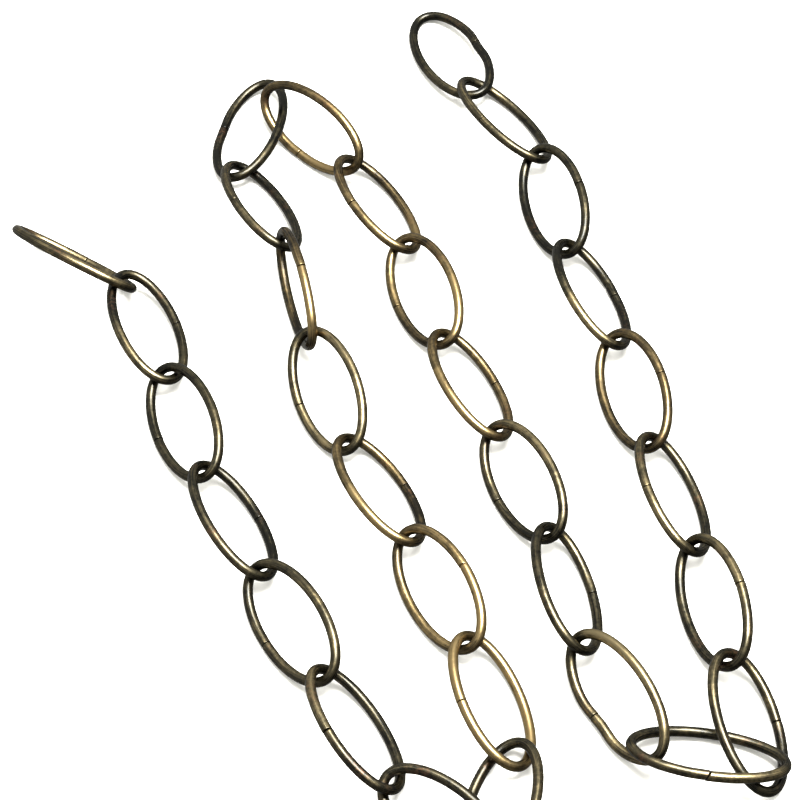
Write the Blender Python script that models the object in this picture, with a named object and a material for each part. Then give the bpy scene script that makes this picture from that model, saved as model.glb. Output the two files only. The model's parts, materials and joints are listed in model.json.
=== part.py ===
# A length of lighting chain laid in loose rows on a level floor.
# Thirty-one oval links, each bent from round wire and left with an open butt seam.
# Metres, +Z up. The origin is on the floor, under the middle of the chain's box.

from collections import namedtuple

import bpy
import numpy as np
from mathutils import Euler, Matrix, Vector

# Driving dimensions of one link
LINK_LENGTH = 0.038
LINK_WIDTH = 0.019
WIRE = 0.0025
SEAM = 0.0003
CLEARANCE = 0.0003

# How finely a link is drawn
SIDES_OF_WIRE = 8
STATIONS = 25
STEPS_BETWEEN_STATIONS = 4

# The picture that the rows were read from: its size in pixels and how it was taken
PICTURE_MIDDLE = 400
VIEW_ELEVATION = np.radians(53.8)
FOCAL_PIXELS = 2650
VIEW_DISTANCE = 0.670

# Each link as the picture shows it, from the end link at the top right along the chain:
# the pixels of its wire's middle at its rear and its front tip, how far its left side is
# raised (degrees), and the side of its seam. Someone who walks along the chain has the
# rear tip behind them, and left and right are theirs.
Seen = namedtuple("Seen", "rear front lean seam")
LINKS_SEEN = (
    Seen(rear=(417, 9), front=(480, 99), lean=0, seam="left"),
    Seen(rear=(462, 82), front=(547, 160), lean=-27, seam="right"),
    Seen(rear=(535, 152), front=(571, 250), lean=39, seam="left"),
    Seen(rear=(564, 242), front=(617, 346), lean=-33, seam="left"),
    Seen(rear=(613, 334), front=(652, 446), lean=38, seam="left"),
    Seen(rear=(649, 434), front=(694, 552), lean=-35, seam="right"),
    Seen(rear=(693, 541), front=(733, 667), lean=46, seam="left"),
    Seen(rear=(728, 654), front=(764, 790), lean=-29, seam="left"),
    Seen(rear=(787, 768), front=(632, 740), lean=26, seam="left"),
    Seen(rear=(656, 760), front=(575, 637), lean=-45, seam="left"),
    Seen(rear=(582, 651), front=(551, 527), lean=38, seam="right"),
    Seen(rear=(553, 535), front=(492, 428), lean=-42, seam="left"),
    Seen(rear=(498, 435), front=(439, 332), lean=29, seam="right"),
    Seen(rear=(446, 341), front=(400, 238), lean=-36, seam="left"),
    Seen(rear=(405, 248), front=(347, 158), lean=30, seam="left"),
    Seen(rear=(361, 166), front=(260, 90), lean=-58, seam="left"),
    Seen(rear=(267, 82), front=(230, 174), lean=13, seam="right"),
    Seen(rear=(233, 161), front=(287, 251), lean=-34, seam="right"),
    Seen(rear=(278, 226), front=(311, 341), lean=77, seam="left"),
    Seen(rear=(303, 333), front=(346, 451), lean=33, seam="right"),
    Seen(rear=(345, 438), front=(413, 544), lean=-30, seam="left"),
    Seen(rear=(404, 533), front=(476, 651), lean=38, seam="left"),
    Seen(rear=(466, 637), front=(517, 768), lean=-28, seam="right"),
    Seen(rear=(518, 741), front=(481, 874), lean=22, seam="left"),
    Seen(rear=(503, 876), front=(387, 776), lean=-28, seam="left"),
    Seen(rear=(392, 793), front=(319, 673), lean=35, seam="left"),
    Seen(rear=(331, 681), front=(254, 570), lean=-37, seam="left"),
    Seen(rear=(265, 579), front=(199, 466), lean=32, seam="right"),
    Seen(rear=(204, 476), front=(162, 369), lean=-34, seam="left"),
    Seen(rear=(168, 381), front=(128, 271), lean=26, seam="right"),
    Seen(rear=(133, 279), front=(5, 230), lean=46, seam="right"),
)

# Links whose raised wires are rubbed through to the bright brass
RUBBED = (5, 13, 14, 15, 16, 19, 21, 22, 23)
DARK_PATINA = (0.055, 0.043, 0.026)
RUBBED_BRASS = (0.27, 0.19, 0.085)

# How the links are laid against each other
LAYING_STEPS = 900
STEPS_WITH_WEIGHT = 650
SINK_PER_STEP = 0.00002
LARGEST_PUSH = 0.0002
HOLD_TO_PICTURE = 0.02
TURNING_RADIUS = 0.012

WIRE_RADIUS = WIRE / 2
HALF_LENGTH = (LINK_LENGTH - WIRE) / 2
HALF_WIDTH = (LINK_WIDTH - WIRE) / 2


def clear_scene():
    """Remove everything that the file opened with."""
    for thing in list(bpy.data.objects):
        bpy.data.objects.remove(thing, do_unlink=True)


def oval_angles():
    """Angles of the wire's stations, from one butt end round to the other."""
    half_gap = SEAM / 2 / HALF_LENGTH
    return np.linspace(np.pi / 2 + half_gap, np.pi / 2 + 2 * np.pi - half_gap, STATIONS)


def oval_points(angle):
    """The wire's centre line: an ellipse with its long axis on X and its seam at +Y."""
    flat = np.zeros_like(angle)
    return np.stack([HALF_LENGTH * np.cos(angle), HALF_WIDTH * np.sin(angle), flat], axis=1)


def oval_outward(angle):
    """Unit vectors in the link's plane, square to the wire and pointing outwards."""
    flat = np.zeros_like(angle)
    outward = np.stack([HALF_WIDTH * np.cos(angle), HALF_LENGTH * np.sin(angle), flat], axis=1)
    return outward / np.linalg.norm(outward, axis=1, keepdims=True)


def link_mesh():
    """Carry a round section along the oval and close both butt ends."""
    angle = oval_angles()
    around = np.arange(SIDES_OF_WIRE) * 2 * np.pi / SIDES_OF_WIRE
    outward = oval_outward(angle)[:, None, :] * np.cos(around)[None, :, None]
    upward = np.array([0, 0, 1]) * np.sin(around)[None, :, None]
    rings = oval_points(angle)[:, None, :] + WIRE_RADIUS * (outward + upward)

    faces = []
    for station in range(STATIONS - 1):
        for side in range(SIDES_OF_WIRE):
            here = station * SIDES_OF_WIRE
            beyond = here + SIDES_OF_WIRE
            following = (side + 1) % SIDES_OF_WIRE
            faces.append((here + side, here + following, beyond + following, beyond + side))
    last = (STATIONS - 1) * SIDES_OF_WIRE
    faces.append(tuple(reversed(range(SIDES_OF_WIRE))))
    faces.append(tuple(range(last, last + SIDES_OF_WIRE)))
    # The oval is walked anticlockwise, so the quads as listed face inwards.
    faces = [tuple(reversed(face)) for face in faces]

    mesh = bpy.data.meshes.new("link")
    mesh.from_pydata(rings.reshape(-1, 3).tolist(), [], faces)
    mesh.shade_smooth()
    mesh.set_sharp_from_angle(angle=np.radians(60))
    return mesh


def floor_point(across, down, height):
    """The place at this height that is seen at a pixel of the picture."""
    sine, cosine = np.sin(VIEW_ELEVATION), np.cos(VIEW_ELEVATION)
    ahead = np.array([0, cosine, -sine])
    right = np.array([1, 0, 0])
    upright = np.array([0, sine, cosine])
    ray = ahead
    ray = ray + right * (across - PICTURE_MIDDLE) / FOCAL_PIXELS
    ray = ray + upright * (PICTURE_MIDDLE - down) / FOCAL_PIXELS
    eye = -ahead * VIEW_DISTANCE
    return eye + ray * (height - eye[2]) / ray[2]


def leaning_height(seen):
    """How high a link's middle is when its lower side is on the floor."""
    return WIRE_RADIUS + HALF_WIDTH * abs(np.sin(np.radians(seen.lean)))


def turn_matrix(vector):
    """The rotation about a vector by its own length, in radians."""
    return np.array(Matrix.Rotation(np.linalg.norm(vector), 3, Vector(vector)))


def seen_middle(seen):
    """The pixel half-way between a link's two tips."""
    return (np.array(seen.rear) + np.array(seen.front)) / 2


def read_layout():
    """Middles and rotations of all links as the picture shows them."""
    alone = np.array([leaning_height(seen) for seen in LINKS_SEEN])
    # Two links hook into each other at the height of the higher one, so the lower one slopes.
    shared = np.maximum(alone[:-1], alone[1:])
    rear_heights, front_heights = np.append(alone[:1], shared), np.append(shared, alone[-1:])
    middles, turns = [], []
    for seen, rear_height, front_height in zip(LINKS_SEEN, rear_heights, front_heights):
        rear = floor_point(*seen.rear, rear_height)
        front = floor_point(*seen.front, front_height)
        heading = np.arctan2(front[1] - rear[1], front[0] - rear[0])
        slope = np.arcsin((front_height - rear_height) / LINK_LENGTH)
        middles.append((rear + front) / 2)
        turns.append(np.array(Euler((np.radians(seen.lean), -slope, heading)).to_matrix()))
    return np.array(middles), np.array(turns)


def push_apart(middles, turns, line, first, second):
    """Move two links apart where their wires come closer than the clearance."""
    if np.linalg.norm(middles[first] - middles[second]) > LINK_LENGTH + CLEARANCE:
        return
    here = middles[first] + line @ turns[first].T
    there = middles[second] + line @ turns[second].T
    between = here[:, None, :] - there[None, :, :]
    distance = np.sqrt((between**2).sum(axis=2))
    a, b = np.unravel_index(distance.argmin(), distance.shape)
    short = min(WIRE + CLEARANCE - distance[a, b], LARGEST_PUSH)
    if short <= 0:
        return
    away = between[a, b] / distance[a, b]
    arms = (np.cross(here[a] - middles[first], away), np.cross(there[b] - middles[second], away))
    ease = 2 + sum(arm @ arm for arm in arms) / TURNING_RADIUS**2
    for link, arm, way in ((first, arms[0], 1), (second, arms[1], -1)):
        middles[link] += way * away * short / ease
        turns[link] = turn_matrix(way * arm * short / ease / TURNING_RADIUS**2) @ turns[link]


def lift_onto_floor(middles, turns, line, link):
    """Raise a link where its wire reaches below the floor, at its lowest point."""
    points = middles[link] + line @ turns[link].T
    lowest = points[:, 2].argmin()
    short = WIRE_RADIUS - points[lowest, 2]
    if short <= 0:
        return
    up = np.array([0, 0, 1])
    arm = np.cross(points[lowest] - middles[link], up)
    ease = 1 + arm @ arm / TURNING_RADIUS**2
    middles[link] += up * short / ease
    turns[link] = turn_matrix(arm * short / ease / TURNING_RADIUS**2) @ turns[link]


def hold_to_picture(middles, turns, link, wanted_turn):
    """Bring a link a little nearer to where the picture shows it, at the height it has now."""
    wanted_middle = floor_point(*seen_middle(LINKS_SEEN[link]), middles[link, 2])
    middles[link] += HOLD_TO_PICTURE * (wanted_middle - middles[link])
    difference = Matrix((wanted_turn @ turns[link].T).tolist()).to_quaternion()
    turns[link] = turn_matrix(HOLD_TO_PICTURE * np.array(difference.to_exponential_map())) @ turns[link]


def lay_links():
    """Lay every link on the floor and against its neighbours, by small repeated moves."""
    middles, wanted_turns = read_layout()
    turns = wanted_turns.copy()
    stations = oval_points(oval_angles())
    share = np.arange(STEPS_BETWEEN_STATIONS)[:, None, None] / STEPS_BETWEEN_STATIONS
    line = (stations[:-1] * (1 - share) + stations[1:] * share).reshape(-1, 3)
    count = len(LINKS_SEEN)
    for step in range(LAYING_STEPS):
        weighted = step < STEPS_WITH_WEIGHT
        for link in range(count):
            if weighted:
                middles[link, 2] -= SINK_PER_STEP
                hold_to_picture(middles, turns, link, wanted_turns[link])
            for near in (link + 1, link + 2):
                if near < count:
                    push_apart(middles, turns, line, link, near)
            lift_onto_floor(middles, turns, line, link)
    return middles, turns


def centre_on_box(middles, turns):
    """Shift the whole chain so that the origin is under the middle of its box."""
    line = oval_points(oval_angles())
    points = np.concatenate([middle + line @ turn.T for middle, turn in zip(middles, turns)])
    low, high = points.min(axis=0), points.max(axis=0)
    return middles - np.array([(low[0] + high[0]) / 2, (low[1] + high[1]) / 2, low[2] - WIRE_RADIUS])


def finish_material(name, colour, roughness):
    """A plain metal finish."""
    material = bpy.data.materials.new(name)
    material.use_nodes = True
    shader = material.node_tree.nodes["Principled BSDF"]
    shader.inputs["Base Color"].default_value = (*colour, 1)
    shader.inputs["Metallic"].default_value = 1
    shader.inputs["Roughness"].default_value = roughness
    return material


def place_link(number, mesh, middle, turn, seam_side, material):
    """Add one link, turned over where its seam is on the other side."""
    link = bpy.data.objects.new(f"link_{number:02d}", mesh)
    bpy.context.scene.collection.objects.link(link)
    over = Matrix.Rotation(0 if seam_side == "left" else np.pi, 4, "X")
    link.matrix_world = Matrix.Translation(middle) @ Matrix(turn.tolist()).to_4x4() @ over
    link.material_slots[0].link = "OBJECT"
    link.material_slots[0].material = material
    return link


def build_chain():
    """Make all links from one mesh and lay them in their rows."""
    clear_scene()
    patina = finish_material("dark_patina", DARK_PATINA, 0.42)
    brass = finish_material("rubbed_brass", RUBBED_BRASS, 0.34)
    mesh = link_mesh()
    mesh.materials.append(patina)
    middles, turns = lay_links()
    middles = centre_on_box(middles, turns)
    for number, seen in enumerate(LINKS_SEEN, start=1):
        material = brass if number in RUBBED else patina
        place_link(number, mesh, middles[number - 1], turns[number - 1], seen.seam, material)


build_chain()
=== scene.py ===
# %% [markdown]
# # A length of decorative lighting chain
#
# The object is one loose length of light chain, 31 oval links long, of the kind that a
# swag lamp hangs from. Each link is a piece of round steel wire, cut off, bent into an
# oval and left unwelded, so two butt ends meet in the middle of one long side. Over the
# steel lies an antique brass finish: dark olive brown in the hollows, rubbed back to
# warm metal where hands and other links have touched it.
#
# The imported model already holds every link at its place. This lesson reads those places,
# lays a finer link over each one, and gives the wire its finish.

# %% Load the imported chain
import json
import bpy
import numpy as np
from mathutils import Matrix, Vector


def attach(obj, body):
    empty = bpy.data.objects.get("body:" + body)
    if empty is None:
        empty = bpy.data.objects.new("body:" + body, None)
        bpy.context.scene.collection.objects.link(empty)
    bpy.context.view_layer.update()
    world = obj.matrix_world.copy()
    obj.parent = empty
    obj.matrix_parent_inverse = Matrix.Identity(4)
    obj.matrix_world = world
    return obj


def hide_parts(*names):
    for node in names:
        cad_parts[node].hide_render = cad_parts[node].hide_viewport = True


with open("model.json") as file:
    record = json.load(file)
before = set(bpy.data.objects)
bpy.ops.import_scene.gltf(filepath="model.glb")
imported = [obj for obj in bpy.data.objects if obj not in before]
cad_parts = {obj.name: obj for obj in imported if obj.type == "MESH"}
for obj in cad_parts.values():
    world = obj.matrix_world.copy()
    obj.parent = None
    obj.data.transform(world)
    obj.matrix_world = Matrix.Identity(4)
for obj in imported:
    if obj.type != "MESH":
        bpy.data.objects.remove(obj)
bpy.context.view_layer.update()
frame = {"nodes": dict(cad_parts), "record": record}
link_names = sorted(frame["nodes"])
MM = 0.001

# %% [markdown]
# The camera comes first, because all the looks are judged through it. It stands in front
# of the chain and looks down on it steeply with a long lens, so the rows of links hardly
# narrow towards the back. The same picture could be had with a shifted or cropped lens,
# but a plain camera aimed at one point of the floor keeps every other view honest.

# %% The camera
VIEW_ELEVATION = np.radians(53.8)
VIEW_DISTANCE = 0.670
LENS_MM = 119.25
SENSOR_MM = 36
NEAREST_SEEN = 0.01
AIM = Vector((0.0059, 0.0009, 0.0))

camera_data = bpy.data.cameras.new("camera")
camera_data.lens = LENS_MM
camera_data.sensor_width = SENSOR_MM
camera_data.clip_start = NEAREST_SEEN
camera = bpy.data.objects.new("camera", camera_data)
bpy.context.scene.collection.objects.link(camera)
camera.location = AIM + VIEW_DISTANCE * Vector((0, -np.cos(VIEW_ELEVATION), np.sin(VIEW_ELEVATION)))
camera.rotation_euler = (np.pi / 2 - VIEW_ELEVATION, 0, 0)
bpy.context.scene.camera = camera
print("camera at", [round(v, 3) for v in camera.location])

# %% [markdown]
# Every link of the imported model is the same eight-sided ring, laid in its own direction.
# A new link has to lie exactly there. The directions could be typed in again, but then
# two lists would have to agree. They are read from the points instead: a flat oval ring
# spreads most along its length, less across, and least through its thickness. Those
# three directions are what a singular value decomposition of its points gives.
# The ring has two rings of points where its wire is cut, so the mean of all points lies
# a little towards the seam, which tells the two long sides apart.

# %% Where each link lies
def link_place(name):
    """Middle of a link, its three unit directions as rows, and its half size each way.

    The rows are along, the long way, turned to the back of the scene; seam, to the cut
    long side; and square = along x seam. A half size is half of (most - least). Points
    that the mesh holds twice count once."""
    mesh = frame["nodes"][name].data
    points = np.empty(len(mesh.vertices) * 3)
    mesh.vertices.foreach_get("co", points)
    points = np.unique(points.reshape(-1, 3).round(7), axis=0)
    mean = points.mean(axis=0)
    along, seam, _ = np.linalg.svd(points - mean, full_matrices=False)[2]
    along = along * np.sign(along[1])
    across = (points - mean) @ seam
    seam = -seam * np.sign(across.max() + across.min())
    ways = np.stack([along, seam, np.cross(along, seam)])
    local = (points - mean) @ ways.T
    middle = mean + (local.max(axis=0) + local.min(axis=0)) / 2 @ ways
    half = (local.max(axis=0) - local.min(axis=0)) / 2
    return middle, ways, half


places = {name: link_place(name) for name in link_names}
half_sizes = np.array([place[2] for place in places.values()])
WIRE_RADIUS = float(half_sizes[:, 2].mean())
HALF_LENGTH = float(half_sizes[:, 0].mean()) - WIRE_RADIUS
HALF_WIDTH = float(half_sizes[:, 1].mean()) - WIRE_RADIUS
print("wire %.2f mm, link %.1f x %.1f mm" % (
    2 * WIRE_RADIUS / MM, 2 * (HALF_LENGTH + WIRE_RADIUS) / MM, 2 * (HALF_WIDTH + WIRE_RADIUS) / MM))

# %% [markdown]
# Machine-made chain isn't perfect, and its seams are where that shows. The wire is
# sheared off, so the ends stand a little apart, or one stands higher than the other. In
# a few links the ends were squeezed inwards, in one so far that the long side became an
# S. A table says how each seam turned out; a link that isn't in it has a tight seam of
# its own small width.

# %% How each seam turned out
# gap: slit between the ends. pinch, reach and centre: how far the wire is pushed in,
# over which length, and how far in front of the seam that is deepest. back, front:
# (outwards, upwards) shift of each end. slant and rake: how the cut leans outwards and
# upwards. nick: how far behind the seam a burr of the bending tool bit the inner edge.
# All in millimetres but slant and rake, which are slopes.
SEAMS = {
    1: dict(gap=0.14, pinch=0.55, reach=4.0, centre=1.5),
    4: dict(gap=0.16, pinch=0.12, reach=2.5, nick=4.2),
    7: dict(gap=0.20, front=(0.06, 0.0)),
    8: dict(gap=0.24, back=(0.0, 0.08)),
    9: dict(gap=0.22, rake=0.5, back=(0.0, 0.10), front=(0.0, -0.06)),
    10: dict(gap=0.15, pinch=0.95, reach=5.0, centre=2.0, front=(0.12, 0.0)),
    15: dict(gap=0.18, back=(0.08, 0.0)),
    16: dict(gap=0.15, pinch=0.10),
    17: dict(gap=0.13, pinch=0.40, reach=4.5),
    19: dict(gap=0.26, back=(0.0, 0.07)),
    21: dict(gap=0.24, rake=0.3, back=(0.10, 0.08)),
    22: dict(gap=0.36, slant=0.35, rake=0.4, front=(0.06, 0.0)),
    26: dict(gap=0.22, slant=-0.2),
    30: dict(gap=0.18),
}
# A link that isn't in the table has a gap in this range, and ends shifted about so far.
TIGHT_GAP = (0.12, 0.20)
OWN_STEP = 0.03
rng = np.random.default_rng(31)
own_gap = rng.uniform(*TIGHT_GAP, len(link_names))
own_step = rng.normal(0, OWN_STEP, (len(link_names), 4))


def seam_of(number):
    """The seam's numbers for one link, its own small ones where the table has none."""
    step = own_step[number - 1]
    plain = dict(gap=float(own_gap[number - 1]), pinch=0.0, reach=3.0, centre=0.0, slant=0.0,
                 rake=0.0, nick=None, back=tuple(step[:2]), front=tuple(step[2:]))
    return {**plain, **SEAMS.get(number, {})}


print("seams in the table:", len(SEAMS), "gap of link 2: %.2f mm" % seam_of(2)["gap"])

# %% [markdown]
# The wire is a round section carried along an oval. Blender's own bevelled curve could
# do that, but it can't say where a point lies along and around the wire, and the finish
# needs both for its drawn streaks. So the surface is a grid: one axis runs from butt end
# to butt end, the other around the wire. Stations stand closer together near the seam,
# where the shape changes fastest.

# %% The centre line of one link
# NEAR_SEAM: k in the formula below, from 0 for even stations to 1 for the closest at the
# seam. EDGE_ROUND: the rim's round. STEP_REACH: over which length an end is shifted.
STATIONS = 176
SIDES = 30
NEAR_SEAM = 0.72
FINE_STEPS = 4000
EDGE_ROUND = 0.16 * MM
STEP_REACH = 3.0 * MM


def stations_along():
    """Fine angles, the arc length at each, and the stations' shares of the whole arc.

    For s in 0..1 the share of arc length is s - k sin(2 pi s) / (2 pi), which brings the
    stations closer together at both ends."""
    fine = np.linspace(0, 2 * np.pi, FINE_STEPS + 1)
    speed = np.hypot(HALF_LENGTH * np.cos(fine), HALF_WIDTH * np.sin(fine))
    arc = np.concatenate([[0], np.cumsum((speed[1:] + speed[:-1]) / 2 * np.diff(fine))])
    share = np.linspace(0, 1, STATIONS)
    share = share - NEAR_SEAM * np.sin(2 * np.pi * share) / (2 * np.pi)
    return fine, arc, share


def centre_line(seam):
    """Points (along, to the seam side, up) of the wire's middle, with each one's angle,
    arc length and distance from the seam.

    Before the ends are shifted it is the oval x = a sin(t), y = b cos(t), with t
    counted from the seam. Shifts fade as exp(-(d / reach)^2), d from the seam."""
    fine, arc, share = stations_along()
    half_gap = seam["gap"] * MM / 2
    length = half_gap + EDGE_ROUND + share * (arc[-1] - 2 * half_gap - 2 * EDGE_ROUND)
    angle = np.interp(length, arc, fine)
    points = np.stack([HALF_LENGTH * np.sin(angle), HALF_WIDTH * np.cos(angle), 0 * angle], axis=1)
    behind = angle < np.pi
    from_seam = np.minimum(length, arc[-1] - length)
    ahead = np.where(behind, -from_seam, from_seam)
    pinch = np.exp(-((ahead - seam["centre"] * MM) / (seam["reach"] * MM)) ** 2)
    kink = np.exp(-(from_seam / STEP_REACH) ** 2)
    out = kink * np.where(behind, seam["back"][0], seam["front"][0]) - seam["pinch"] * pinch
    rise = kink * np.where(behind, seam["back"][1], seam["front"][1])
    points[:, 1] += out * MM
    points[:, 2] += rise * MM
    return points, angle, length, from_seam


_, _, length, _ = centre_line(seam_of(2))
print("wire length of one link: %.1f mm" % ((length[-1] - length[0]) / MM))

# %% [markdown]
# Where shears have parted a wire, its rim is broken to a small round. A few rings past
# each end draw in along a quarter circle, and one point closes the flat end.

# %% Sweep the wire
# CUT_REACH: how far from the end a leaning cut still tilts the rings. The nick is a
# bell-shaped dent, with its half length, half width and place around the wire.
ROUND_RINGS = 4
CUT_REACH = 2.2 * MM
NICK_DEPTH = 0.38 * MM
NICK_LENGTH = 0.45 * MM
NICK_WIDTH = 0.9 * MM
NICK_SIDE = 0.9 * np.pi


def wire_surface(seam):
    """Grid of points over one link's wire, from butt end to butt end, in link axes.

    A point is c + r (cos(v) outward + sin(v) up). Past an end the radius follows
    r - e (1 - cos(b)) and the ring moves on by e sin(b), for b from 0 to 90 degrees.
    Also given: each point's direction from the wire's middle, each ring's arc length and
    angle, the angles v, and the middles of the two end faces."""
    middle, angle, length, from_seam = centre_line(seam)
    forward = np.gradient(middle, axis=0)
    forward /= np.linalg.norm(forward, axis=1, keepdims=True)
    outward = np.cross([0, 0, 1.0], forward)
    outward /= np.linalg.norm(outward, axis=1, keepdims=True)
    upward = np.cross(forward, outward)

    turn = np.linspace(0, np.pi / 2, ROUND_RINGS + 1)[1:]
    past = EDGE_ROUND * np.sin(turn)
    drawn_in = EDGE_ROUND * (1 - np.cos(turn))

    def pad(values, shift):
        """Repeat the first and last rows for the end rings, moved on by shift."""
        head = values[:1] - shift[::-1, None] * forward[:1]
        tail = values[-1:] + shift[:, None] * forward[-1:]
        return np.concatenate([head, values, tail])

    none = np.zeros(ROUND_RINGS)
    centres = pad(middle, past)
    outs = pad(outward, none)
    ups = pad(upward, none)
    ahead = pad(forward, none)
    radius = np.concatenate([WIRE_RADIUS - drawn_in[::-1], np.full(STATIONS, WIRE_RADIUS),
                             WIRE_RADIUS - drawn_in])
    at = np.concatenate([length[0] - past[::-1], length, length[-1] + past])
    angles = np.concatenate([np.full(ROUND_RINGS, angle[0]), angle, np.full(ROUND_RINGS, angle[-1])])

    around = np.arange(SIDES) * 2 * np.pi / SIDES
    spoke = (np.cos(around)[None, :, None] * outs[:, None]
             + np.sin(around)[None, :, None] * ups[:, None])
    rings = centres[:, None] + radius[:, None, None] * spoke
    off_seam = np.concatenate([none, from_seam, none])
    near = np.clip(1 - off_seam / CUT_REACH, 0, 1)
    slant = seam["slant"] * np.cos(around) * (angles < np.pi)[:, None]
    lean = slant + seam["rake"] * np.sin(around)
    rings -= (near[:, None] * lean * radius[:, None])[:, :, None] * ahead[:, None]
    if seam["nick"] is not None:
        along = (at - seam["nick"] * MM) / NICK_LENGTH
        chord = 2 * WIRE_RADIUS * np.sin((around - NICK_SIDE) / 2) / NICK_WIDTH
        apart = np.hypot(along[:, None], chord[None, :])
        rings -= (NICK_DEPTH * np.exp(-apart ** 2))[:, :, None] * spoke
    ends = np.stack([centres[0], centres[-1]])
    return rings, spoke, at, angles, around, ends


rings = wire_surface(seam_of(2))[0]
print("grid of rings x sides:", rings.shape[:2])

# %% [markdown]
# The finish on such a chain wears off by touch. The links that lie on top shine, and
# within one link it is the raised long sides that shine while the crowns, where the
# next link hangs, stay dark. How bare each quarter of a link is was judged and is
# written as four letters, k for black, then dull, low, high and bright: seam side back
# and front, then far side back and front. Between quarters the value turns over smoothly.

# %% How rubbed each quarter is
BARE = {"k": -0.18, "d": 0.06, "l": 0.30, "h": 0.60, "b": 0.95}
RUBBED_QUARTERS = (
    "dkkl llld ddkk dkkb llld lhld hldd lkld lhdd lhbh lddl ldhl lllb hdlb lhdh hblh "
    "dkkd llkd dbdk lhhh lklb hblh bbbb lldd lldd hddd dlll dkdl dddl ddkh hllh").split()
# How soft the turn is between the two long sides, and between back and front; how wide
# the crowns' bell is, and what share of the level it takes away there.
SIDE_BLEND = 0.45
BACK_BLEND = 0.5
CROWN_WIDTH = 0.42
CROWN_LOSS = 0.65
# What share of the level the wire's flank keeps, and what its top has more: partly wear,
# partly a painted highlight where the overhead light falls on the top. A little more is
# painted light alone, whatever the level is: a painted highlight on the wire's top and
# painted shade on its under side.
FLANK_SHARE = 0.65
TOP_WEAR_AND_SHEEN = 0.45
TOP_SHEEN_UNDER_SHADE = 0.10


def soft_step(value, half_range):
    """0 below -half_range, 1 above it, and a smooth cubic 3u^2 - 2u^3 between."""
    u = np.clip(value / half_range / 2 + 0.5, 0, 1)
    return u * u * (3 - 2 * u)


def rubbed(number, angle, height):
    """How worn the metal is at each ring and side, with a painted highlight on the wire's top and
    painted shade under it: about 0 is black, and 1 is gold.

    The level is mixed from the four quarters, back and front along the link and side to
    side across it, and drops at the crowns by a bell of cos(angle). On the wire it is
    level (flank + top h) + extra (h - 1/2), with h the height from -1 below to 1 above."""
    back_seam, front_seam, back_far, front_far = (BARE[c] for c in RUBBED_QUARTERS[number - 1])
    seam_side = soft_step(np.cos(angle), SIDE_BLEND)
    back = soft_step(np.sin(angle), BACK_BLEND)
    level = (seam_side * (back * back_seam + (1 - back) * front_seam)
             + (1 - seam_side) * (back * back_far + (1 - back) * front_far))
    crown = np.exp(-(np.cos(angle) / CROWN_WIDTH) ** 2)
    level = level * (1 - CROWN_LOSS * crown)
    # The top h term is partly wear and partly a painted highlight; the extra term is a painted highlight
    # on the top and painted shade on the under side.
    return level[:, None] * (FLANK_SHARE + TOP_WEAR_AND_SHEEN * height) + TOP_SHEEN_UNDER_SHADE * (height - 0.5)


print("quarters given for", len(RUBBED_QUARTERS), "links")

# %% [markdown]
# Now the grid becomes a mesh. Four neighbours of the grid make a face, and a fan of
# triangles closes each end. Along the wire, then outward, then up is a right-handed
# turn, so one order of the corners makes every face look out of the wire. Two
# attributes go with the points: where a point lies on the wire, for the streaks, and how
# rubbed it is, with a painted highlight on the wire's top and painted shade on its under
# side added in. The place on the wire is stored as (along, r cos v, r sin v), which has no
# jump anywhere around the wire.

# %% From grid to piece
# STREAK_SHIFT: metres by which each link's streaks are moved on from the last link's.
STREAK_SHIFT = 0.2
END_FACE_BARE = 0.05


def grid_faces(ring_count):
    """Quads between neighbouring rings and a fan at each end, as one index list."""
    ring = np.arange(ring_count - 1)[:, None] * SIDES
    side = np.arange(SIDES)[None, :]
    after = (side + 1) % SIDES
    onward = ring + SIDES
    quads = np.stack([ring + side, ring + after, onward + after, onward + side], axis=-1)
    first, last = ring_count * SIDES, ring_count * SIDES + 1
    base = (ring_count - 1) * SIDES
    start = np.stack([after[0], side[0], np.full(SIDES, first)], axis=-1)
    close = np.stack([base + side[0], base + after[0], np.full(SIDES, last)], axis=-1)
    return quads.reshape(-1, 4), np.concatenate([start, close])


def link_piece(number):
    """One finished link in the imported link's place: p becomes middle + p @ ways."""
    name = "link_%02d" % number
    middle, ways, _ = places[name]
    rings, spoke, at, angles, around, ends = wire_surface(seam_of(number))
    count = len(rings)
    local = np.concatenate([rings.reshape(-1, 3), ends])
    world = middle + local @ ways

    quads, fans = grid_faces(count)
    mesh = bpy.data.meshes.new(name + "_wire")
    mesh.from_pydata(world.tolist(), [], quads.tolist() + fans.tolist())
    mesh.shade_smooth()

    along = at + number * STREAK_SHIFT
    flat = WIRE_RADIUS * np.stack([np.cos(around), np.sin(around)], axis=-1)
    on_wire = np.concatenate([np.broadcast_to(along[:, None, None], (count, SIDES, 1)),
                              np.broadcast_to(flat, (count, SIDES, 2))], axis=-1).reshape(-1, 3)
    tips = np.array([[along[0], 0, 0], [along[-1], 0, 0]])
    store = mesh.attributes.new("on_wire", "FLOAT_VECTOR", "POINT")
    store.data.foreach_set("vector", np.concatenate([on_wire, tips]).ravel().astype(np.float32))

    # How far each point faces up as the chain lies; it drives the painted highlight on the wire's top
    # and the painted shade under it in the value stored below.
    height = (spoke @ ways)[:, :, 2]
    bare_and_sheen = np.concatenate([rubbed(number, angles, height).ravel(), [END_FACE_BARE] * 2])
    store = mesh.attributes.new("bare_and_sheen", "FLOAT", "POINT")
    store.data.foreach_set("value", bare_and_sheen.astype(np.float32))
    piece = bpy.data.objects.new("chain_" + name, mesh)
    bpy.context.scene.collection.objects.link(piece)
    return piece


pieces = {number: link_piece(number) for number in range(1, len(link_names) + 1)}
print("pieces:", len(pieces), "faces in all:", sum(len(p.data.polygons) for p in pieces.values()))

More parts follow.
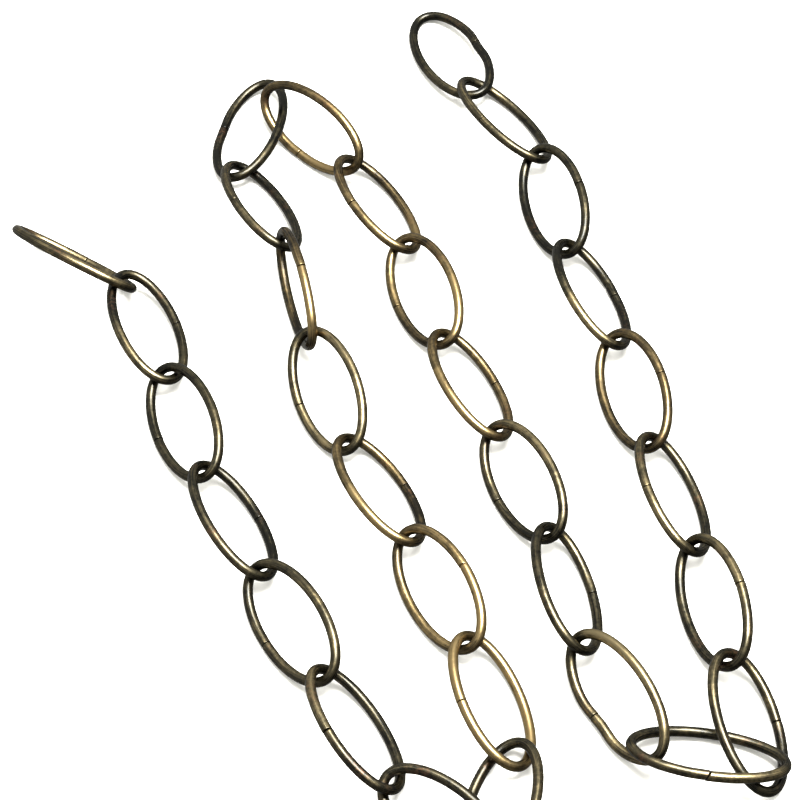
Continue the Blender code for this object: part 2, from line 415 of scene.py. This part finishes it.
# %% [markdown]
# The looks are built from shader nodes, and the same few moves come again and again: a
# noise, a product, a soft ramp, a mixture of two colours. Each gets a short function
# here, so that the finishes further down read like formulas and not like wiring.

# %% Small tools for shader nodes
def new_group(name, inputs, outputs):
    """An empty shader group with named sockets, and its input and output nodes."""
    group = bpy.data.node_groups.new(name, "ShaderNodeTree")
    for label, kind in inputs:
        group.interface.new_socket(label, in_out="INPUT", socket_type=kind)
    for label, kind in outputs:
        group.interface.new_socket(label, in_out="OUTPUT", socket_type=kind)
    return group, group.nodes.new("NodeGroupInput"), group.nodes.new("NodeGroupOutput")


def noise(group, vector, scale, detail, roughness):
    """A noise node on a vector, and its value from 0 to 1."""
    node = group.nodes.new("ShaderNodeTexNoise")
    node.inputs["Scale"].default_value = scale
    node.inputs["Detail"].default_value = detail
    node.inputs["Roughness"].default_value = roughness
    group.links.new(vector, node.inputs["Vector"])
    return node.outputs["Fac"]


def stretch(group, vector, scales):
    """The vector with each part multiplied by its own number."""
    node = group.nodes.new("ShaderNodeVectorMath")
    node.operation = "MULTIPLY"
    node.inputs[1].default_value = scales
    group.links.new(vector, node.inputs[0])
    return node.outputs["Vector"]


def maths(group, operation, *values):
    """A maths node; each value is a socket or a plain number."""
    node = group.nodes.new("ShaderNodeMath")
    node.operation = operation
    for slot, value in zip(node.inputs, values):
        if isinstance(value, (int, float)):
            slot.default_value = value
        else:
            group.links.new(value, slot)
    return node.outputs["Value"]


def ramp(group, value, low, high):
    """0 below low, 1 above high, and 3u^2 - 2u^3 between, with u the share of the way."""
    node = group.nodes.new("ShaderNodeMapRange")
    node.interpolation_type = "SMOOTHSTEP"
    node.inputs["From Min"].default_value = low
    node.inputs["From Max"].default_value = high
    group.links.new(value, node.inputs["Value"])
    return node.outputs["Result"]


def mix_colour(group, factor, first, second):
    """first (1 - factor) + second factor, for two colour sockets."""
    node = group.nodes.new("ShaderNodeMix")
    node.data_type = "RGBA"
    group.links.new(factor, node.inputs["Factor"])
    slots = [slot for slot in node.inputs if slot.type == "RGBA"]
    for slot, colour in zip(slots, (first, second)):
        group.links.new(colour, slot)
    return [slot for slot in node.outputs if slot.type == "RGBA"][0]


print("node tools:", [tool.__name__ for tool in (new_group, noise, stretch, maths, ramp, mix_colour)])

# %% [markdown]
# The finish starts with the wire itself. Drawing it through a die leaves long fine lines
# that run with the wire and never cross it. Noise does this when its coordinates are
# stretched: slow along the wire, fast around it. It is a node group of its own, so that
# any finish can take it up.

# %% Drawn lines, as a node group
# Changes of the noise per metre, along the wire and across it. The noise itself then
# has scale 1, some finer detail, and that detail's strength.
LINE_STRETCH = (120, 4000, 4000)
FINE_STRETCH = (340, 12500, 12500)
LINE_NOISE = (1.0, 2.0, 0.55)


def make_drawn_lines():
    """Long lines about 8 mm by 0.25 mm, and finer ones of 3 mm by 0.08 mm."""
    group, start, end = new_group("drawn_lines", [("On wire", "NodeSocketVector")],
                                  [("Lines", "NodeSocketFloat"), ("Fine lines", "NodeSocketFloat")])
    for label, scales in (("Lines", LINE_STRETCH), ("Fine lines", FINE_STRETCH)):
        stretched = stretch(group, start.outputs["On wire"], scales)
        group.links.new(noise(group, stretched, *LINE_NOISE), end.inputs[label])
    return group


drawn_lines = make_drawn_lines()
print("group:", drawn_lines.name)

# %% [markdown]
# Antique brass isn't one colour. Brass is plated on the steel, blackened in a bath, then
# tumbled or wiped so that raised places come back. What is left is a patchwork: nearly
# black where the bath stayed, olive brown over most of it, gold where it was wiped, with
# now and then a breath of copper red. The wear value of each point, which also carries a
# painted highlight on the wire's top and painted shade under it, moves the mixture
# along, and clouds, lines and flecks break it up. The same group gives a roughness and a
# height, because a blackened patch is also duller, and the black flecks lie in tiny pits.

# %% Antique brass, as a node group
# Each noise: changes per metre, finer detail, and how strong that detail is.
CLOUDS = (260.0, 3.0, 0.55)
PATCHES = (1100.0, 4.0, 0.65)
SPECKS = (5200.0, 2.0, 0.6)
WARMTH = (95.0, 2.0, 0.5)
# How far each one moves the mixture, and where the mixture turns black, olive and gold.
CLOUD_SWING, PATCH_SWING, LINE_SWING, FINE_SWING = 1.20, 0.70, 1.50, 0.60
OLIVE_FROM_TO = (-0.16, 0.30)
GOLD_FROM_TO = (0.28, 0.92)
# Copper shows where it is warm and patchy, a fleck where speck and cloud meet.
COPPER_WARMTH, COPPER_PATCH, COPPER_SHARE = (0.56, 0.72), (0.42, 0.62), 0.55
FLECK_SPECK, FLECK_CLOUD, FLECK_SHARE = (0.60, 0.72), (0.42, 0.62), 0.6
# Roughness: of the black, what full gold is smoother by, and what each pattern adds.
BLACK_ROUGHNESS, GOLD_SMOOTHER, SMOOTHER_FROM_TO = 0.42, 0.10, (0.0, 0.9)
PATCH_ROUGH, FINE_ROUGH, FLECK_ROUGH = 0.24, 0.10, 0.14
# Height of each pattern, in parts of the material's relief.
LINE_HIGH, FINE_HIGH, SPECK_HIGH, FLECK_DEEP = 0.5, 0.3, 0.25, 0.5


def make_antique_brass():
    """Colour, roughness and height from the place on the wire and its wear value, which also carries a
    painted highlight on the wire's top and painted shade under it.
    """
    group, start, end = new_group(
        "antique_brass",
        [("On wire", "NodeSocketVector"), ("Place", "NodeSocketVector"), ("Bare_and_sheen", "NodeSocketFloat"),
         ("Black", "NodeSocketColor"), ("Olive", "NodeSocketColor"), ("Gold", "NodeSocketColor"),
         ("Copper", "NodeSocketColor")],
        [("Colour", "NodeSocketColor"), ("Roughness", "NodeSocketFloat"), ("Height", "NodeSocketFloat")])
    lines = group.nodes.new("ShaderNodeGroup")
    lines.node_tree = drawn_lines
    group.links.new(start.outputs["On wire"], lines.inputs["On wire"])
    place = start.outputs["Place"]
    clouds, patches, specks, warmth = (
        noise(group, place, *numbers) for numbers in (CLOUDS, PATCHES, SPECKS, WARMTH))
    long_lines, fine_lines = lines.outputs["Lines"], lines.outputs["Fine lines"]

    def times(first, second):
        """first * second."""
        return maths(group, "MULTIPLY", first, second)

    def centred(value, amount):
        """(value - 1/2) * amount, so that the pattern swings both ways."""
        return times(maths(group, "SUBTRACT", value, 0.5), amount)

    level = start.outputs["Bare_and_sheen"]
    for value, amount in ((clouds, CLOUD_SWING), (patches, PATCH_SWING), (long_lines, LINE_SWING),
                          (fine_lines, FINE_SWING)):
        level = maths(group, "ADD", level, centred(value, amount))
    colour = mix_colour(group, ramp(group, level, *OLIVE_FROM_TO), start.outputs["Black"],
                        start.outputs["Olive"])
    colour = mix_colour(group, ramp(group, level, *GOLD_FROM_TO), colour, start.outputs["Gold"])
    copper = times(ramp(group, warmth, *COPPER_WARMTH), ramp(group, patches, *COPPER_PATCH))
    colour = mix_colour(group, times(copper, COPPER_SHARE), colour, start.outputs["Copper"])
    flecks = times(ramp(group, specks, *FLECK_SPECK), ramp(group, clouds, *FLECK_CLOUD))
    colour = mix_colour(group, times(flecks, FLECK_SHARE), colour, start.outputs["Black"])
    group.links.new(colour, end.inputs["Colour"])

    smoother = times(ramp(group, level, *SMOOTHER_FROM_TO), GOLD_SMOOTHER)
    rough = maths(group, "SUBTRACT", BLACK_ROUGHNESS, smoother)
    for part in (centred(patches, PATCH_ROUGH), centred(fine_lines, FINE_ROUGH),
                 times(flecks, FLECK_ROUGH)):
        rough = maths(group, "ADD", rough, part)
    group.links.new(rough, end.inputs["Roughness"])

    height = maths(group, "ADD", times(long_lines, LINE_HIGH), times(fine_lines, FINE_HIGH))
    height = maths(group, "ADD", height, times(specks, SPECK_HIGH))
    height = maths(group, "SUBTRACT", height, times(flecks, FLECK_DEEP))
    group.links.new(height, end.inputs["Height"])
    return group


antique_brass = make_antique_brass()
print("group:", antique_brass.name, "with", len(antique_brass.nodes), "nodes")

# %% [markdown]
# Two materials use the group. The dark one has a colder gold, because little of it is
# wiped; the rubbed one turns to a fuller yellow. Both are metal all over, under a thin
# clear lacquer: that is why even the blackest links carry the same pale stripe of light
# as the brightest. A dark edge tint keeps the wire's grazing edges from lighting up, as
# the oxide film does on the real one.

# %% The two finishes
EDGE_TINT = (0.18, 0.16, 0.11)
LACQUER = 0.6
LACQUER_ROUGHNESS = 0.22


def finish(name, black, olive, gold, copper, relief):
    """One metal material around the antique brass group, with relief in metres."""
    material = bpy.data.materials.new(name)
    material.use_nodes = True
    nodes, links = material.node_tree.nodes, material.node_tree.links
    shader = nodes["Principled BSDF"]
    shader.inputs["Metallic"].default_value = 1.0
    shader.inputs["Specular Tint"].default_value = (*EDGE_TINT, 1)
    shader.inputs["Coat Weight"].default_value = LACQUER
    shader.inputs["Coat Roughness"].default_value = LACQUER_ROUGHNESS
    group = nodes.new("ShaderNodeGroup")
    group.node_tree = antique_brass
    for label, value in (("Black", black), ("Olive", olive), ("Gold", gold), ("Copper", copper)):
        group.inputs[label].default_value = (*value, 1)
    on_wire = nodes.new("ShaderNodeAttribute")
    on_wire.attribute_name = "on_wire"
    bare_and_sheen = nodes.new("ShaderNodeAttribute")
    bare_and_sheen.attribute_name = "bare_and_sheen"
    place = nodes.new("ShaderNodeTexCoord")
    bump = nodes.new("ShaderNodeBump")
    bump.inputs["Strength"].default_value = 1.0
    bump.inputs["Distance"].default_value = relief
    links.new(on_wire.outputs["Vector"], group.inputs["On wire"])
    links.new(bare_and_sheen.outputs["Fac"], group.inputs["Bare_and_sheen"])
    links.new(place.outputs["Object"], group.inputs["Place"])
    links.new(group.outputs["Colour"], shader.inputs["Base Color"])
    links.new(group.outputs["Roughness"], shader.inputs["Roughness"])
    links.new(group.outputs["Height"], bump.inputs["Height"])
    links.new(bump.outputs["Normal"], shader.inputs["Normal"])
    return material


finishes = {
    "dark_patina": finish("dark_patina", black=(0.006, 0.006, 0.004), olive=(0.060, 0.051, 0.029),
                          gold=(0.30, 0.240, 0.130), copper=(0.16, 0.075, 0.042),
                          relief=0.012 * MM),
    "rubbed_brass": finish("rubbed_brass", black=(0.013, 0.010, 0.006), olive=(0.110, 0.081, 0.038),
                           gold=(0.40, 0.290, 0.135), copper=(0.24, 0.115, 0.055),
                           relief=0.010 * MM),
}
print("materials:", sorted(finishes))

# %% [markdown]
# Each link now takes the place of its packed stand-in. The links that the record calls
# rubbed brass get that finish, the others the dark one. Nothing on a chain like this
# turns on a pin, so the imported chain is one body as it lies, and every link rides on it.

# %% Every link in its place
rubbed_links = {entry["node"] for entry in frame["record"]["subparts"]
                if entry["material_slot"] == "rubbed_brass"}
for number, piece in pieces.items():
    name = "link_%02d" % number
    slot = "rubbed_brass" if name in rubbed_links else "dark_patina"
    piece.data.materials.append(finishes[slot])
    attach(piece, "root")
    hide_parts(name)
print("rubbed links:", sorted(rubbed_links))

# %% [markdown]
# The floor is a plain pale sheet of studio paper, large enough that no view sees its end.
# The real chain hardly mirrors what it lies on, so the paper is left out of reflections.
# Otherwise its white would fill the flanks of every wire, where the real ones are darkest.

# %% Paper floor
FLOOR_HALF = 3.0
PAPER_COLOUR = (0.86, 0.86, 0.86)
PAPER_ROUGHNESS = 0.9
PAPER_GLOSS = 0.2
floor_mesh = bpy.data.meshes.new("paper_floor")
corners = FLOOR_HALF * np.array([[-1, -1, 0], [1, -1, 0], [1, 1, 0], [-1, 1, 0]])
floor_mesh.from_pydata(corners.tolist(), [], [(0, 1, 2, 3)])
paper_floor = bpy.data.objects.new("paper_floor", floor_mesh)
bpy.context.scene.collection.objects.link(paper_floor)
paper = bpy.data.materials.new("pale_paper")
paper.use_nodes = True
paper_shader = paper.node_tree.nodes["Principled BSDF"]
paper_shader.inputs["Base Color"].default_value = (*PAPER_COLOUR, 1)
paper_shader.inputs["Roughness"].default_value = PAPER_ROUGHNESS
paper_shader.inputs["Specular IOR Level"].default_value = PAPER_GLOSS
floor_mesh.materials.append(paper)
paper_floor.visible_glossy = False
print("floor side: %.0f m" % (2 * FLOOR_HALF))

# %% [markdown]
# Round metal shows its lights as stripes, so the lights decide the look. The stripes on
# the real chain all point to one soft light almost straight overhead, a little to the
# right; everything around it was dim, the back and the left least so. One round area
# light does the first, and a dim sky that brightens softly to the back left does the
# second. A third, very wide light only thins the shadows on the paper, and no metal
# mirrors it.

# %% Studio light
# Each softbox: the way to it from the chain, and its distance, diameter and watts.
WARM_WHITE = (1.0, 0.985, 0.92)
OVERHEAD = ((0.13, 0.08, 1.0), 1.0, 0.60, 32.0)
SHADOW_FILL = ((0.0, -0.1, 1.0), 2.0, 6.0, 160.0)
SKY_COLOUR = (1.0, 0.98, 0.87)
SKY_BRIGHTER_TO = (-0.45, 0.80, 0.0)
SKY_DIMMEST = 0.10
SKY_BRIGHTEST = 0.78


def softbox(name, direction, distance, size, power):
    """A round area light that looks at the chain from a direction."""
    data = bpy.data.lights.new(name, "AREA")
    data.shape = "DISK"
    data.size = size
    data.energy = power
    data.color = WARM_WHITE
    lamp = bpy.data.objects.new(name, data)
    way = Vector(direction).normalized()
    lamp.location = way * distance
    lamp.rotation_euler = way.to_track_quat("Z", "Y").to_euler()
    bpy.context.scene.collection.objects.link(lamp)
    return lamp


overhead = softbox("overhead_softbox", *OVERHEAD)
shadow_fill = softbox("shadow_fill", *SHADOW_FILL)
shadow_fill.visible_glossy = False

world = bpy.data.worlds.new("dim_studio")
bpy.context.scene.world = world
world.use_nodes = True
sky = world.node_tree
turn = sky.nodes.new("ShaderNodeVectorMath")
turn.operation = "DOT_PRODUCT"
turn.inputs[1].default_value = SKY_BRIGHTER_TO
direction = sky.nodes.new("ShaderNodeTexCoord")
sky.links.new(direction.outputs["Generated"], turn.inputs[0])
dim = sky.nodes.new("ShaderNodeMapRange")
dim.inputs["From Min"].default_value = -1
dim.inputs["From Max"].default_value = 1
dim.inputs["To Min"].default_value = SKY_DIMMEST
dim.inputs["To Max"].default_value = SKY_BRIGHTEST
sky.links.new(turn.outputs["Value"], dim.inputs["Value"])
sky.links.new(dim.outputs["Result"], sky.nodes["Background"].inputs["Strength"])
sky.nodes["Background"].inputs["Color"].default_value = (*SKY_COLOUR, 1)
bpy.context.scene.view_settings.view_transform = "Standard"
print("lights:", overhead.name, shadow_fill.name, "and", world.name)
